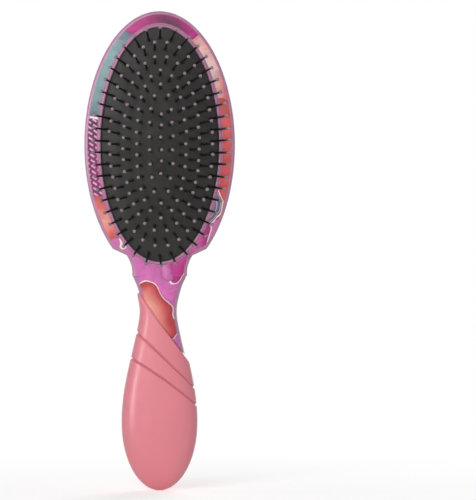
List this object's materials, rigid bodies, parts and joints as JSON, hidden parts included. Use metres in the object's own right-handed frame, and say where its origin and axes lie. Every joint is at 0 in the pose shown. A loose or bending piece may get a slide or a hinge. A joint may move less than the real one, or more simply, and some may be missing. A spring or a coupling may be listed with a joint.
{
  "type": "hairbrush",
  "caption": "Oval cushioned hairbrush with ball-tipped pins in concentric rows, a narrow neck and a soft grip with slanting grooves.",
  "frame": {"origin": "middle of the grip, on the handle's centre line", "axes": "+Z along the handle to the head, pins point to -Y, +X to the right when the pins face the viewer"},
  "size_m": [0.0704, 0.0378, 0.2243],
  "materials": {
    "printed_shell": "transfer-printed gloss ABS with a clear lacquer",
    "frame": "moulded gloss ABS, pale pink",
    "cushion": "matt charcoal rubber",
    "pins": "black nylon",
    "balls": "dusty pink epoxy ball tips",
    "grip": "satin rose thermoplastic elastomer"
  },
  "bodies": {
    "handle": {"back_shell": "printed_shell", "front_rim": "printed_shell", "cushion_frame": "frame", "cushion_pad": "cushion", "grip_sleeve": "grip"},
    "centre_row": {"centre_pins": "pins", "centre_balls": "balls"},
    "row_1": {"row_1_pins": "pins", "row_1_balls": "balls"},
    "row_2": {"row_2_pins": "pins", "row_2_balls": "balls"},
    "row_3": {"row_3_pins": "pins", "row_3_balls": "balls"},
    "row_4": {"row_4_pins": "pins", "row_4_balls": "balls"},
    "row_5": {"row_5_pins": "pins", "row_5_balls": "balls"}
  },
  "joints": [
    {"name": "cushion_press", "type": "slide", "parent": "handle", "child": "centre_row", "axis": [0, 1, 0], "range_m": [0, 0.004], "stiffness_N_per_m": 1500, "deforming": ["cushion_pad"]},
    {"name": "row_1_press", "type": "slide", "parent": "handle", "child": "row_1", "axis": [0, 1, 0], "range_m": [0, 0.00081]},
    {"name": "row_2_press", "type": "slide", "parent": "handle", "child": "row_2", "axis": [0, 1, 0], "range_m": [0, 0.0019]},
    {"name": "row_3_press", "type": "slide", "parent": "handle", "child": "row_3", "axis": [0, 1, 0], "range_m": [0, 0.00273]},
    {"name": "row_4_press", "type": "slide", "parent": "handle", "child": "row_4", "axis": [0, 1, 0], "range_m": [0, 0.00335]},
    {"name": "row_5_press", "type": "slide", "parent": "handle", "child": "row_5", "axis": [0, 1, 0], "range_m": [0, 0.00376]}
  ],
  "couplings": [
    {"joint": "row_1_press", "follows": "cushion_press", "ratio": 0.198},
    {"joint": "row_2_press", "follows": "cushion_press", "ratio": 0.469},
    {"joint": "row_3_press", "follows": "cushion_press", "ratio": 0.678},
    {"joint": "row_4_press", "follows": "cushion_press", "ratio": 0.833},
    {"joint": "row_5_press", "follows": "cushion_press", "ratio": 0.936}
  ]
}
